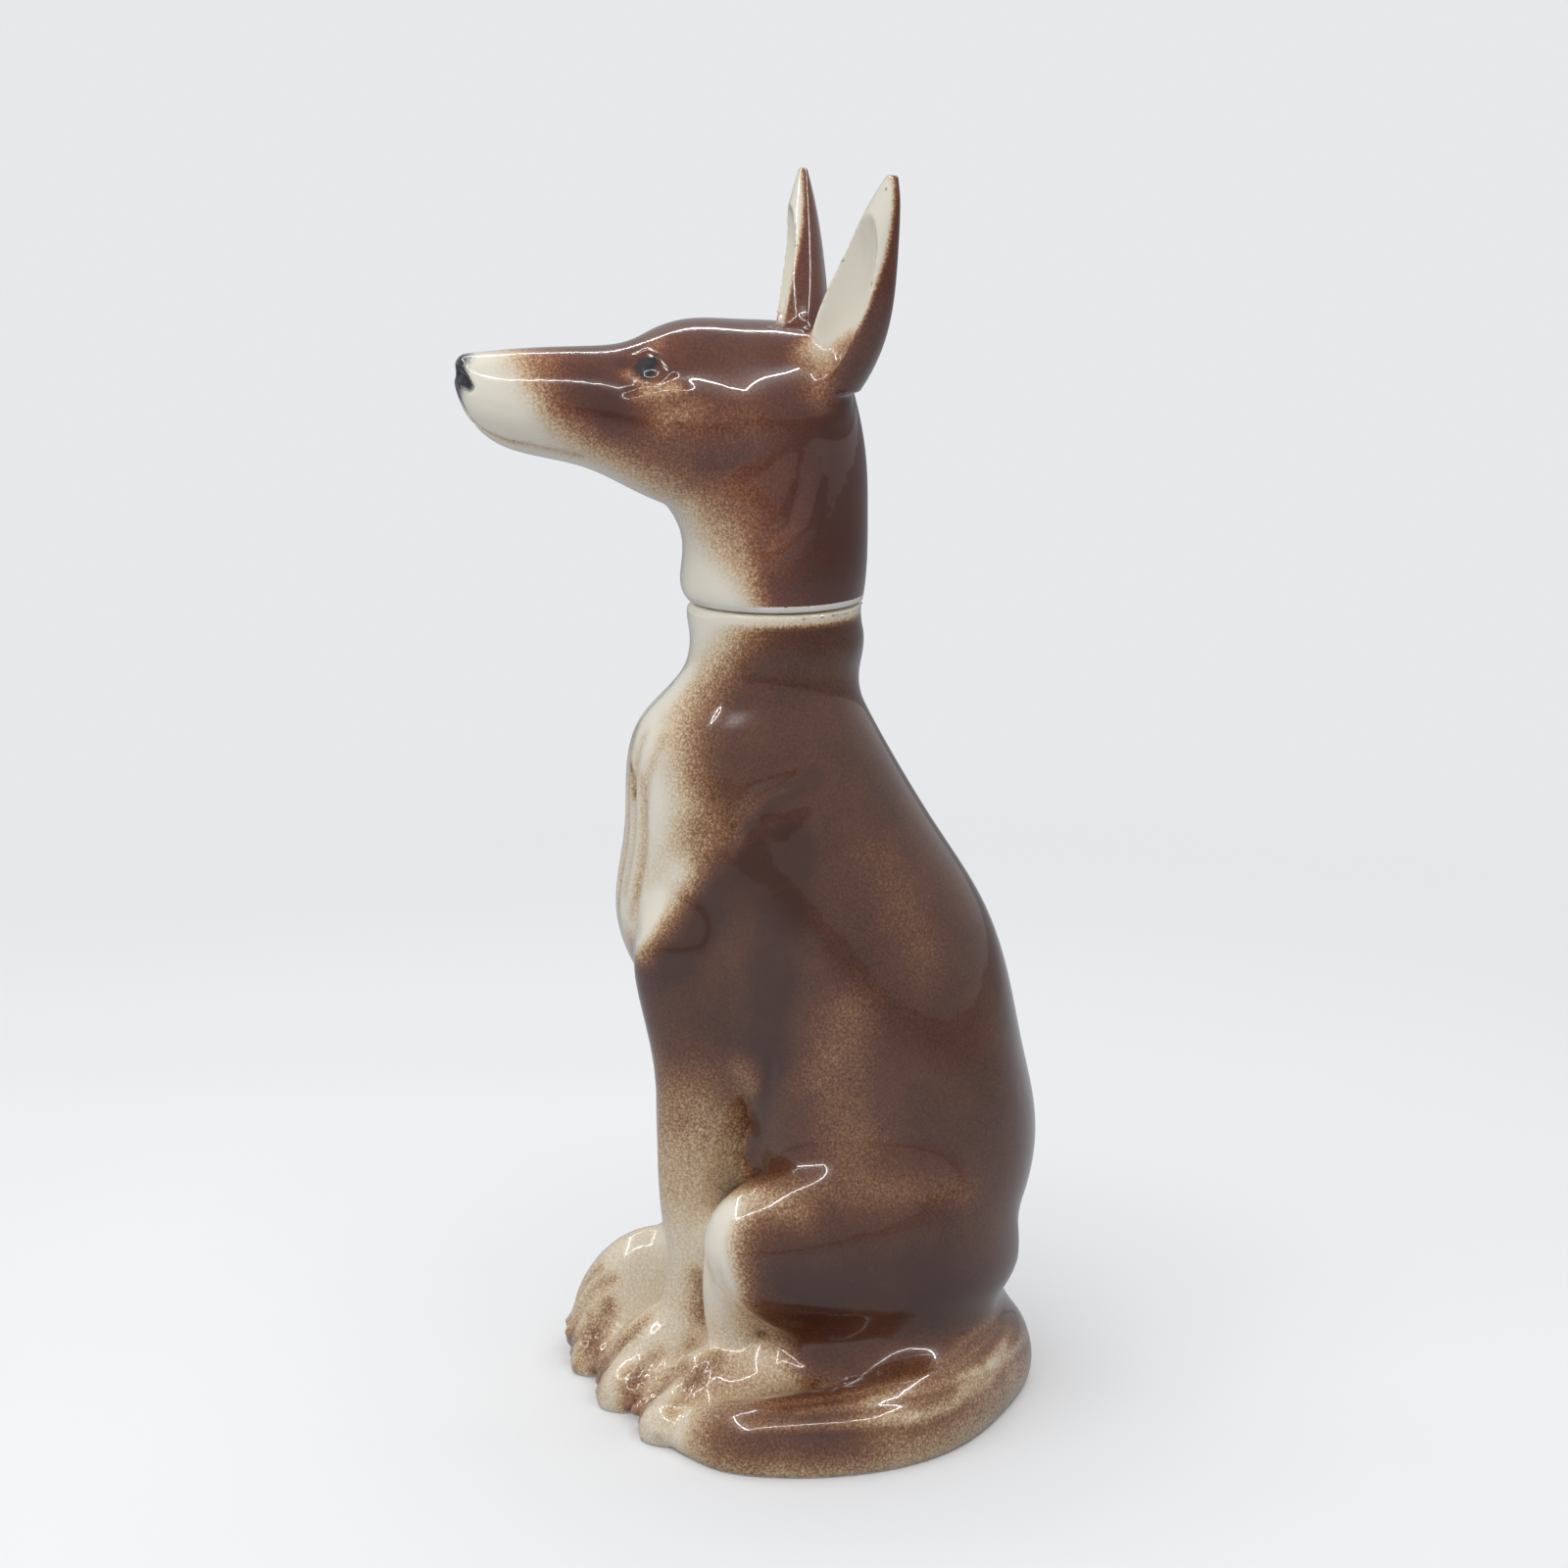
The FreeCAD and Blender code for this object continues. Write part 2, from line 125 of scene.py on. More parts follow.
# Edges and tones of the brown coat: where they are taken, and the edge or the tone there
JAW_EDGE = ((-78, -66, -58, -46, -38, -24, -14, -6), (262, 254, 244, 238, 233, 224, 208, 188))
JAW_SOFTNESS = ((-40, -20), (1.0, 1.7))
CHEST_EDGE = (
    (108, 115, 123, 135, 146, 154, 163, 173, 183, 190, 199),
    (-60, -38, -31, -28, -23, -21, -23, -23, -17, -12, -7),
)
LEG_TONE = ((18, 45, 80, 100), (0.0, 0.16, 0.55, 1.0))
LEG_BACK = ((18, 24), (-2, -4))
LEG_FRONT = ((18, 24), (-12, -22))
THIGH_EDGE = ((-26, -15, -4.5, 4.5, 14, 24), (56, 40, 27, 18, 14, 0))
TAIL_TONE = ((1, 7, 12, 17), (0.28, 0.52, 0.66, 0.84))
TAIL_TIP_TONE = ((86, 112), (1.0, 0.45))
FULL_BROWN = 0.88
NAPE_BROWN = 0.12
THIGH_WIPE = 0.85
FOOT_WIPE = 0.85
RIM_WIPE = 0.9
FOOT_WASH = 0.11

# Soft limits of the coats: where each begins and where it is full
JAW_FADE = (-7, 10)
MUZZLE_ALONG = (-75, -45)
NAPE_ALONG = (-6, 8)
NAPE_UP = (256, 244)
HEAD_RIM_UP = (HEAD_BASE + 2.0, HEAD_BASE + 1.2)
CHEST_FADE = (-9, 12)
BETWEEN_LEGS_ACROSS = (12, 4)
BETWEEN_LEGS_ALONG = (-8, -16)
THIGH_FADE = (-9, 12)
THIGH_ACROSS = (20, 26)
FEET_UP = (24, 15)
FEET_ALONG = (6, -6)
NECK_RIM_UP = (195.0, 197.2)
FOOT_RIM_UP = (0.6, 0.3)
WASH_UP = (40, 24)
WASH_ALONG = (4, -14)
TAIL_OUT = (43, 48)
TAIL_UP = (26, 21)
TAIL_ROOT_TURN = (-24, -8)
TAIL_TIP_TURN = (124, 112)

# The ears' ivory hollow, in shares of the cup's size, and its heights
EAR_PALE_TALL = 1.6
EAR_PALE_OUTER = 1.22
EAR_PALE_INNER = 1.04
EAR_PALE_NARROWING = 0.6
EAR_NARROWS_UP = (270, 256)
EAR_PALE_UP = (250, 268)

# Sprays of brown on both sides: places along and up, width and amount
HEAD_SPRAYS = (
    (((4, 250), (6, 256), (8, 264)), 4.5, -0.38),
    (((-30, 240), (-16, 246)), 10, -0.13),
    (((-17, 226), (-11, 214)), 7, -0.22),
    (((-50, 252), (-44, 250), (-38, 262)), 6, 0.12),
)
KNEE = ((-14, 56), (-17, 50), (-14, 40))
# Brown strokes on the body, among them painted shade in the shoulder crease, the elbow groove and low on
# the thigh, and a painted highlight along the thigh's top
BODY_BROWN_AND_PAINTED_LIGHT = (
    (((-8, 153), (-20, 140)), 5, -0.20),
    (((-24, 136), (-34, 121)), 5.5, -0.42),
    (((-5, 142), (-16, 132), (-26, 118)), 6, 0.20),
    # Painted shade: a dark brown line in the shoulder crease
    (((8, 161), (0, 157), (-8, 150)), 2.2, 0.20),
    (((2, 146), (-2, 120), (-3, 96)), 6, 0.18),
    (((16, 104), (10, 88), (16, 76)), 9, -0.24),
    (((24, 140), (34, 118)), 8, -0.14),
    (((-9, 89), (-7, 84)), 4, -0.30),
    # Painted shade: a dark brown line in the groove behind the elbow
    (((-2, 90), (-5, 76), (-8, 64)), 2.2, 0.25),
    # Painted highlight: brown wiped off along the thigh's top edge, where the overhead light falls
    (((-12, 59), (0, 62), (20, 62), (44, 59)), 5, -0.20),
    (KNEE, 6, -0.28),
    (KNEE, 12, -0.20),
    (((-6, 60), (4, 57)), 4, -0.25),
    # Painted shade: more brown low on the thigh, away from the overhead light
    (((2, 40), (20, 37), (36, 37)), 12, 0.14),
)

# Forms modelled on both sides: places along and up, width, height and taper
CHEEK_AND_NECK_FORMS = (
    (((-24, 243), (-13, 246)), 8, 0.9, 0),
    (((4, 240), (3, 231), (0, 220), (-8, 212)), 2.2, 0.7, 0.5),
    (((0, 238), (-1, 230), (-4, 221), (-11, 215)), 1.6, -0.6, 0.5),
    (((-17, 225), (-10, 221)), 1.1, -0.4, 0.5),
    (((-30, 236), (-20, 232), (-14, 236), (-11, 244)), 2.0, -0.5, 0.5),
)
SHOULDER_FORMS = (
    (((9, 164), (1, 160), (-6, 157), (-10, 151), (-12, 144)), 1.6, -0.7, 0.8),
    (((12, 160), (2, 155), (-5, 151)), 4.5, 0.6, 0.8),
    (((-14, 147), (-20, 139), (-26, 131)), 5.0, 0.4, 0.8),
    (((-6, 190), (-14, 178), (-21, 166)), 3.0, 0.6, 0.5),
    (((6, 120), (2, 106), (0, 94)), 3.0, -0.7, 0.5),
)
LEG_FORMS = (
    (((-9, 90), (-6, 84)), 4.5, 0.7, 0),
    (((-2, 94), (-3, 88), (-4, 80)), 1.6, -0.6, 0.6),
    (((-14, 58), (-4, 63), (12, 65), (30, 65), (46, 60)), 5, 0.6, 0.6),
    (((-16, 44), (-14, 38), (-5, 26), (4, 19), (14, 16)), 1.6, -0.9, 0.5),
    (((-15, 47), (-12, 39), (-2, 28), (6, 23)), 2.0, 0.6, 0.5),
)

# The eye: its place, its forms and its sprays, two of them painted highlights, with their places taken
# from the eye
EYE_PLACE = (-34.7, 256.8)
EYE_FORMS = (
    (((-1.5, 0.0),), 5.5, -0.9, 0),
    (((0.0, 0.0),), 2.4, 1.2, 0),
    (((-4.6, -0.8), (-2.4, 2.4), (0.6, 3.4), (3.4, 2.0), (4.8, -0.8)), 1.0, 0.7, 0.4),
    (((-4.6, -0.8), (-1.8, -3.2), (1.4, -3.4), (4.8, -0.8)), 0.9, 0.5, 0.4),
    (((-5.5, 5.5), (-0.5, 7.5), (6.0, 6.5)), 3.2, 1.1, 0.5),
    (((-6.0, -7.6), (-2.0, -5.8), (4.0, -5.0), (8.0, -5.6)), 1.4, 0.6, 0.5),
    (((-6.5, -5.6), (-2.0, -4.4)), 1.0, -0.4, 0.5),
)
EYE_SPRAYS_AND_PAINTED_HIGHLIGHTS = (
    # Painted highlight: brown wiped off in an arc under the brow
    ("brown", ((-2.5, 5.5), (3.0, 5.0)), 3.0, -0.30),
    ("brown", ((-5.0, -1.0), (-1.0, -4.4), (4.5, -3.6)), 1.8, -0.40),
    # Painted highlight: brown wiped off along the fold of skin below the eye
    ("brown", ((-4.0, -7.0), (6.0, -5.2)), 1.6, -0.30),
    ("brown", ((8.0, -9.0), (2.0, -11.0)), 4.0, -0.25),
    ("brown", ((-5.2, 1.0),), 1.6, 0.35),
    ("dark", ((-0.8, -0.9), (0.7, 1.2)), 2.5, 0.85),
    ("dark", ((-3.6, -0.6), (-1.5, 1.8)), 1.0, 0.40),
)

# The muzzle, with places across, along and up
NOSE = ((0, -78, 258), (0, -77, 254.5))
NOSE_LINE = ((0, -76, 250.5), (0, -75, 247))
LIP_CLEFT = ((0, -76.5, 252), (0, -74, 245))
NOSTRIL = ((2.0, -77, 256), (3.6, -75.5, 255.2), (4.2, -74, 253.4))
LIP = ((1.5, -74.5, 243.5), (4, -70, 241.6), (6, -62, 239.2), (7, -50, 235.6))
WHISKER_PAD = ((4.5, -71, 249), (6.5, -63, 247))

# The chest: strands of hair each side of the middle one, and a short slit with painted shade in it
STRANDS_EACH_SIDE = 5
STRAND_SPACING = 3.1
STRAND_BEND = 2.5
STRAND_TOP = 178
STRAND_LENGTH = 34
STRAND_AHEAD = -60
STRAND_STEPS = 5
SHADED_CHEST_SLIT = ((6, 0, 160), (8, 0, 157), (9, 0, 153))

# The tail: bands of paint by first and last turn, slope, width and amount, then locks of hair by
# first and last turn, slope and rise of the slope, all in degrees
TAIL_BRIDGE = ((47, -26, 6), (42, -17, 9), (40, -8, 12), (41, 2, 14))
TAIL_BANDS = ((26, 72, 46, 6, -0.24), (22, 44, 24, 8, -0.12), (76, 106, 16, 6, 0.22))
TAIL_LOCKS = (
    (14, 52, 82, -14),
    (22, 70, 62, -10),
    (18, 48, 44, -16),
    (40, 88, 40, 8),
    (30, 64, 24, -10),
    (58, 96, 66, 6),
    (62, 100, 20, 8),
    (10, 34, 20, 12),
)
LOCK_PALE_RISE = 2.6

# Paws: middle, front, length, width, height and tilt
LEFT_FOREPAW = (11.5, -47, 13, 25, 17, -2)
RIGHT_FOREPAW = (-11.5, -56, 13, 25, 21, 2)
HIND_PAW_MIDDLE = 30
HIND_PAW = (-38, 12, 21, 15, 0)
TOES = (-1.5, -0.5, 0.5, 1.5)
TOE_GAPS = (-1, 0, 1)
TOE_SHARE = 0.88
GROOVE_STEPS = 4
GROOVE_CLOSING = 0.25
GROOVE_STAGGER = 1.5
GROOVE_CURVE = 1.3
GROOVE_FOOT = 1
TOE_EDGE_STAGGER = 1.2
TOE_EDGE_HEIGHT = 7
CLAW_STAGGER = 0.8
CLAW_HEIGHT = 3.2
OUTER_TOES = (
    ((-2, -43, 17), (0, -44, 10), (1, -46, 5)),
    ((-3, -47, 13), (2, -48, 7), (3, -50, 3)),
    ((16, -36, 17), (13, -43, 9), (16, -46, 5)),
    ((21, -30, 13), (22, -33, 10), (24, -38, 6)),
    ((21, -22, 16), (29, -29, 12), (34, -32, 8)),
    ((33, -16, 18), (37, -23, 11), (41, -27, 5)),
)
OUTER_CLAWS = ((-4, -52, 2), (16, -46, 3), (34, -37, 4), (41, -29, 3))
HEEL = ((38, -18, 14), (37, -5, 13), (40, 6, 15))
# Painted shade: a pressed hollow sprayed dark brown where the foreleg meets the hind paw
LEG_HOLLOW_SHADE = ((20, -18, 23), (20, -17, 32))

# Colours, and the glaze's tones by amount of brown
IVORY = (0.88, 0.83, 0.70)
BODY_TONES = (
    (0.00, IVORY),
    (0.25, (0.62, 0.45, 0.27)),
    (0.50, (0.30, 0.145, 0.065)),
    (0.75, (0.145, 0.052, 0.023)),
    (1.00, (0.062, 0.020, 0.011)),
)
HEAD_TONES = (
    (0.00, IVORY),
    (0.25, (0.63, 0.43, 0.25)),
    (0.50, (0.32, 0.135, 0.058)),
    (0.75, (0.165, 0.048, 0.021)),
    (1.00, (0.075, 0.020, 0.011)),
)
CLAW_PINK = (0.42, 0.20, 0.13)
PAINTED_BLACK = (0.010, 0.012, 0.018)
SPECK_BROWN = (0.07, 0.04, 0.025)
STIPPLE_GAIN = 4.0
STIPPLE_SOLID = 1.02
DARK_STIPPLE_GAIN = 0.4
GLAZE_IOR = 1.5
BISQUE = (0.80, 0.77, 0.71)
BISQUE_STAIN = (0.66, 0.60, 0.50)
BISQUE_GRAIN = (0.45, 0.39, 0.32)
CORK_TANS = ((0.0, (0.30, 0.17, 0.08)), (0.5, (0.47, 0.29, 0.15)), (1.0, (0.60, 0.41, 0.24)))
CORK_PORE = (0.10, 0.05, 0.025)
BACKDROP = (0.80, 0.81, 0.83)
SKY = (0.40, 0.405, 0.415)
FLOOR_TONES = ((0.88, 0.89, 0.90), (0.92, 0.93, 0.94))
FLOOR_BOUNCE = (0.42, 0.43, 0.45)

# Studio, in metres and watts
FLOOR_HALF = 30
FLOOR_NEAR = 0.10
FLOOR_FAR = 0.75
FRAME_MIDDLE = (0.08, -0.05)
FRAME_HALF = 0.45
FRAME_HEIGHT = 0.74
TUBE_WIDTH = 0.012
TUBE_POWER = 1.6
PANEL_PLACE = (0.85, -0.80, 0.55)
PANEL_TARGET = (0, 0, 0.15)
PANEL_SIZE = (1.6, 1.6)
PANEL_POWER = 5.0

# Photograph's camera, in millimetres from the neck axis
CAMERA_PLACE = (697.7, -34.6, 322.4)
CAMERA_AZIMUTH = math.radians(87.0)
CAMERA_PITCH = math.radians(13.6)
CAMERA_LENS = 67.5
SENSOR_WIDTH = 36.0
CLIP_START = 0.01


def ramp(values, low, high):
    """Zero at low and one at high, with soft ends."""
    share = np.clip((values - low) / (high - low), 0, 1)
    return share * share * (3 - 2 * share)


def bell(distance, width):
    """One at no distance, falling softly to nothing past the width."""
    return np.exp(-((distance / width) ** 2))


def turned(points, angle):
    """Points turned about the neck axis."""
    c, s = math.cos(angle), math.sin(angle)
    x, y, z = points.T
    return np.stack([c * x - s * y, s * x + c * y, z], 1)


def on_one_side(side, places):
    """Places given for the dog's left, kept there or mirrored to its right."""
    return [(x * side, y, z) for x, y, z in places]


class Skin:
    """A finely meshed copy of a CAD node, held as arrays of points while it is modelled."""

    def __init__(self, node, name, voxel, turn=0.0, plugs=()):
        self.turn = turn
        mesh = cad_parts[node].data.copy()
        mesh.materials.clear()
        self.piece = bpy.data.objects.new(name, mesh)
        scene.collection.objects.link(self.piece)
        self.weld(plugs)
        remesh = self.piece.modifiers.new("remesh", "REMESH")
        remesh.mode = "VOXEL"
        remesh.voxel_size = voxel / 1000
        graph = bpy.context.evaluated_depsgraph_get()
        fine = bpy.data.meshes.new_from_object(self.piece.evaluated_get(graph))
        self.piece.modifiers.clear()
        self.piece.data = fine
        count = len(fine.vertices)
        flat = np.zeros(3 * count)
        fine.vertices.foreach_get("co", flat)
        self.points = turned(1000 * flat.reshape(-1, 3) - NECK_AXIS, -turn)
        ends = np.zeros(2 * len(fine.edges), dtype=np.int64)
        fine.edges.foreach_get("vertices", ends)
        ends = ends.reshape(-1, 2)
        self.start = np.concatenate([ends[:, 0], ends[:, 1]])
        self.end = np.concatenate([ends[:, 1], ends[:, 0]])
        self.valence = np.bincount(self.start, minlength=count)[:, None]
        self.paint = {coat: np.zeros(count) for coat in ("brown", "dark", "pink", "bare")}

    def weld(self, plugs):
        """Closes the CAD faces' seams, and adds the egg-shaped plugs of slip that the remesh joins on."""
        work = bmesh.new()
        work.from_mesh(self.piece.data)
        bmesh.ops.remove_doubles(work, verts=work.verts, dist=WELD_REACH)
        for place, half_sizes in plugs:
            middle = Matrix.Translation((NECK_AXIS + np.array(place)) / 1000)
            egg = Matrix.Diagonal((*(np.array(half_sizes) / 1000), 1))
            bmesh.ops.create_icosphere(work, subdivisions=3, radius=1.0, matrix=middle @ egg)
        work.to_mesh(self.piece.data)
        work.free()

    def patch(self, mask):
        """The points that a mask takes in, and the edges that leave them."""
        taken = mask > MASK_LEAST
        chosen = np.flatnonzero(taken)
        order = np.zeros(len(mask), dtype=np.int64)
        order[chosen] = np.arange(len(chosen))
        kept = taken[self.start]
        return chosen, order[self.start[kept]], self.end[kept]

    def pull(self, chosen, start, end):
        """The way from each chosen point to the middle of its neighbours."""
        sums = [np.bincount(start, column[end], minlength=len(chosen)) for column in self.points.T]
        return np.stack(sums, 1) / self.valence[chosen] - self.points[chosen]

    def store(self):
        """Puts the points back into the mesh."""
        placed = turned(self.points, self.turn) + NECK_AXIS
        self.piece.data.vertices.foreach_set("co", (placed / 1000).ravel())
        self.piece.data.update()

    def normals(self):
        """The way out of the surface at each point, as the surface is now."""
        self.store()
        flat = np.zeros(3 * len(self.points))
        self.piece.data.vertices.foreach_get("normal", flat)
        return turned(flat.reshape(-1, 3), -self.turn)

    def smooth(self, rounds):
        """Evens out small steps without shrinking the form."""
        whole = self.patch(np.ones(len(self.points)))
        for _ in range(rounds):
            for share in SMOOTH_STEPS:
                self.points = self.points + share * self.pull(*whole)

    def soften(self, rounds, mask):
        """Melts small forms into the form under them."""
        part = self.patch(mask)
        chosen = part[0]
        for _ in range(rounds):
            self.points[chosen] += SOFTEN_STEP * self.pull(*part) * mask[chosen, None]

    def fill(self, rounds, mask):
        """Fills hollow creases, as slip and glaze do, and leaves raised forms alone."""
        part = self.patch(mask)
        chosen = part[0]
        for step in range(rounds):
            if step % FILL_ROUNDS_PER_LOOK == 0:
                normals = self.normals()[chosen]
            rise = np.clip((self.pull(*part) * normals).sum(1), 0, None)
            self.points[chosen] += (FILL_STEP * rise * mask[chosen])[:, None] * normals

    def ready(self):
        """Looks up the surface as it is now, to lay strokes on it."""
        self.normal = self.normals()
        faces = [tuple(face.vertices) for face in self.piece.data.polygons]
        self.tree = BVHTree.FromPolygons([Vector(p) for p in self.points], faces)

    def seated(self, places):
        """Places moved to the nearest point of the surface."""
        return [np.array(self.tree.find_nearest(Vector(place))[0]) for place in places]

    def struck(self, rays):
        """Places where rays, given by start and way, meet the surface."""
        hits = [self.tree.ray_cast(Vector(start), Vector(way))[0] for start, way in rays]
        return [np.array(hit) for hit in hits if hit is not None]

    def on_side(self, side, places):
        """Places given along and up, set on the surface seen from one side."""
        return self.struck([((RAY_START * side, along, up), (-side, 0, 0)) for along, up in places])

    def from_front(self, places):
        """Places set on the surface seen from the front."""
        return self.struck([((across, ahead - RAY_AHEAD, up), (0, 1, 0)) for across, ahead, up in places])

    def reach(self, line):
        """Each point's distance from a line of places, and its share of the way along it."""
        distance = np.full(len(self.points), np.inf)
        along = np.zeros(len(self.points))
        pieces = max(1, len(line) - 1)
        for step in range(pieces):
            first = line[step]
            last = line[min(step + 1, len(line) - 1)]
            run = last - first
            share = np.clip((self.points - first) @ run / max(run @ run, LEAST_RUN), 0, 1)
            near = np.linalg.norm(self.points - first - share[:, None] * run, axis=1)
            closer = near < distance
            distance[closer] = near[closer]
            along[closer] = (step + share[closer]) / pieces
        return distance, along

    def model(self, line, width, height, taper=0.0):
        """Raises a soft ridge along a line, or presses a groove where height is negative."""
        distance, along = self.reach(line)
        ends = np.sin(np.pi * np.clip(along, *TAPER_ENDS)) ** taper
        amount = height * bell(distance, width) * ends
        self.points = self.points + amount[:, None] * self.normal

    def model_side(self, side, forms):
        """Models a table of forms on one side."""
        for places, width, height, taper in forms:
            self.model(self.on_side(side, places), width, height, taper)

    def spray(self, coat, line, width, amount):
        """Airbrushes a soft stroke of a coat along a line, or wipes it off."""
        distance, _ = self.reach(line)
        self.paint[coat] = np.clip(self.paint[coat] + amount * bell(distance, width), 0, 1)

    def spray_side(self, side, strokes):
        """Sprays a table of brown strokes on one side."""
        for places, width, amount in strokes:
            self.spray("brown", self.on_side(side, places), width, amount)

    def finish(self, body, node, glaze, bare):
        """Keeps the paint on the mesh, gives the faces their materials and joins the piece to its body."""
        self.store()
        mesh = self.piece.data
        for coat, values in self.paint.items():
            layer = mesh.attributes.new(coat, "FLOAT", "POINT")
            layer.data.foreach_set("value", values.astype(np.float32))
        mesh.materials.append(glaze)
        mesh.materials.append(bare)
        corners = np.zeros(len(mesh.loops), dtype=np.int64)
        mesh.loops.foreach_get("vertex_index", corners)
        starts = np.zeros(len(mesh.polygons), dtype=np.int64)
        mesh.polygons.foreach_get("loop_start", starts)
        unglazed = np.add.reduceat(self.paint["bare"][corners], starts) > BARE_CORNERS
        mesh.polygons.foreach_set("material_index", unglazed.astype(np.int32))
        mesh.polygons.foreach_set("use_smooth", np.ones(len(starts), dtype=bool))
        mesh.update()
        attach(self.piece, body)
        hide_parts(node)


def new_material(name):
    material = bpy.data.materials.new(name)
    material.use_nodes = True
    return material, material.node_tree, material.node_tree.nodes["Principled BSDF"]


def add(tree, kind, **values):
    """A shader node with its plain inputs set by name."""
    made = tree.nodes.new(kind)
    for name, value in values.items():
        made.inputs[name.replace("_", " ")].default_value = value
    return made


def noise(tree, scale, detail, roughness=0.5):
    place = tree.nodes.new("ShaderNodeTexCoord")
    made = add(tree, "ShaderNodeTexNoise", Scale=scale, Detail=detail, Roughness=roughness)
    tree.links.new(place.outputs["Object"], made.inputs["Vector"])
    return made.outputs["Fac"]


def maths(tree, operation, first, second):
    made = tree.nodes.new("ShaderNodeMath")
    made.operation = operation
    for socket, value in zip(made.inputs, (first, second)):
        if isinstance(value, (int, float)):
            socket.default_value = value
        else:
            tree.links.new(value, socket)
    return made.outputs["Value"]


def spread(tree, value, low, high, to_low=0.0, to_high=1.0):
    """A value moved softly from one range to another."""
    made = tree.nodes.new("ShaderNodeMapRange")
    made.interpolation_type = "SMOOTHSTEP"
    tree.links.new(value, made.inputs["Value"])
    made.inputs["From Min"].default_value = low
    made.inputs["From Max"].default_value = high
    made.inputs["To Min"].default_value = to_low
    made.inputs["To Max"].default_value = to_high
    return made.outputs["Result"]


def tones(tree, value, stops):
    """A colour for a value, by stops of place and colour."""
    made = tree.nodes.new("ShaderNodeValToRGB")
    elements = made.color_ramp.elements
    while len(elements) < len(stops):
        elements.new(0.5)
    for element, (place, colour) in zip(elements, stops):
        element.position = place
        element.color = (*colour, 1)
    tree.links.new(value, made.inputs["Fac"])
    return made.outputs["Color"]


def blended(tree, share, first, second):
    """Two colours, plain or from other nodes, mixed by a share."""
    made = tree.nodes.new("ShaderNodeMix")
    made.data_type = "RGBA"
    tree.links.new(share, made.inputs["Factor"])
    for socket, value in ((made.inputs["A"], first), (made.inputs["B"], second)):
        if isinstance(value, tuple):
            socket.default_value = (*value, 1)
        else:
            tree.links.new(value, socket)
    return made.outputs["Result"]


def coat_of(tree, name):
    """A coat of paint that is kept on the mesh."""
    made = tree.nodes.new("ShaderNodeAttribute")
    made.attribute_name = name
    return made.outputs["Fac"]


def bumped(tree, shader, height, strength, distance):
    made = add(tree, "ShaderNodeBump", Strength=strength, Distance=distance)
    tree.links.new(height, made.inputs["Height"])
    tree.links.new(made.outputs["Normal"], shader.inputs["Normal"])


def make_glaze(name, stops):
    """Airbrushed colours under a clear gloss glaze: stippled brown on ivory, and painted darks."""
    material, tree, shader = new_material(name)
    brown = coat_of(tree, "brown")
    stipple = maths(tree, "SUBTRACT", noise(tree, scale=1700, detail=2, roughness=0.6), 0.5)
    cloud = maths(tree, "SUBTRACT", noise(tree, scale=60, detail=4, roughness=0.6), 0.5)
    open_tone = maths(tree, "MULTIPLY", brown, maths(tree, "SUBTRACT", STIPPLE_SOLID, brown))
    grain = maths(tree, "MULTIPLY", maths(tree, "MULTIPLY", stipple, STIPPLE_GAIN), open_tone)
    drift = maths(tree, "MULTIPLY", cloud, spread(tree, brown, low=0.02, high=0.35, to_high=0.35))
    colour = tones(tree, maths(tree, "ADD", maths(tree, "ADD", brown, drift), grain), stops)
    pink = spread(tree, coat_of(tree, "pink"), low=0.1, high=0.9)
    colour = blended(tree, pink, colour, CLAW_PINK)
    dark = coat_of(tree, "dark")
    dark_edge = maths(tree, "ADD", dark, maths(tree, "MULTIPLY", stipple, DARK_STIPPLE_GAIN))
    colour = blended(tree, spread(tree, dark_edge, low=0.25, high=0.75), colour, PAINTED_BLACK)
    specks = spread(tree, noise(tree, scale=330, detail=1), low=0.765, high=0.785, to_high=0.5)
    colour = blended(tree, specks, colour, SPECK_BROWN)
    tree.links.new(colour, shader.inputs["Base Color"])
    patches = noise(tree, scale=35, detail=2)
    satin = spread(tree, patches, low=0.3, high=0.7, to_low=0.16, to_high=0.24)
    tree.links.new(satin, shader.inputs["Roughness"])
    shader.inputs["Coat Weight"].default_value = 1.0
    shader.inputs["Coat Roughness"].default_value = 0.02
    shader.inputs["IOR"].default_value = GLAZE_IOR
    bumped(tree, shader, noise(tree, scale=45, detail=2), strength=0.05, distance=0.0012)
    return material


def make_bisque():
    """Bare fired porcelain: chalky, faintly sandy, with a warm stain here and there."""
    material, tree, shader = new_material("bare_bisque")
    stain = spread(tree, noise(tree, scale=90, detail=4), low=0.45, high=0.75)
    colour = blended(tree, stain, BISQUE, BISQUE_STAIN)
    grain = noise(tree, scale=1600, detail=2)
    sand = spread(tree, grain, low=0.66, high=0.74, to_high=0.35)
    colour = blended(tree, sand, colour, BISQUE_GRAIN)
    tree.links.new(colour, shader.inputs["Base Color"])
    chalk = spread(tree, grain, low=0.3, high=0.7, to_low=0.55, to_high=0.75)
    tree.links.new(chalk, shader.inputs["Roughness"])
    bumped(tree, shader, grain, strength=0.25, distance=0.0002)
    return material


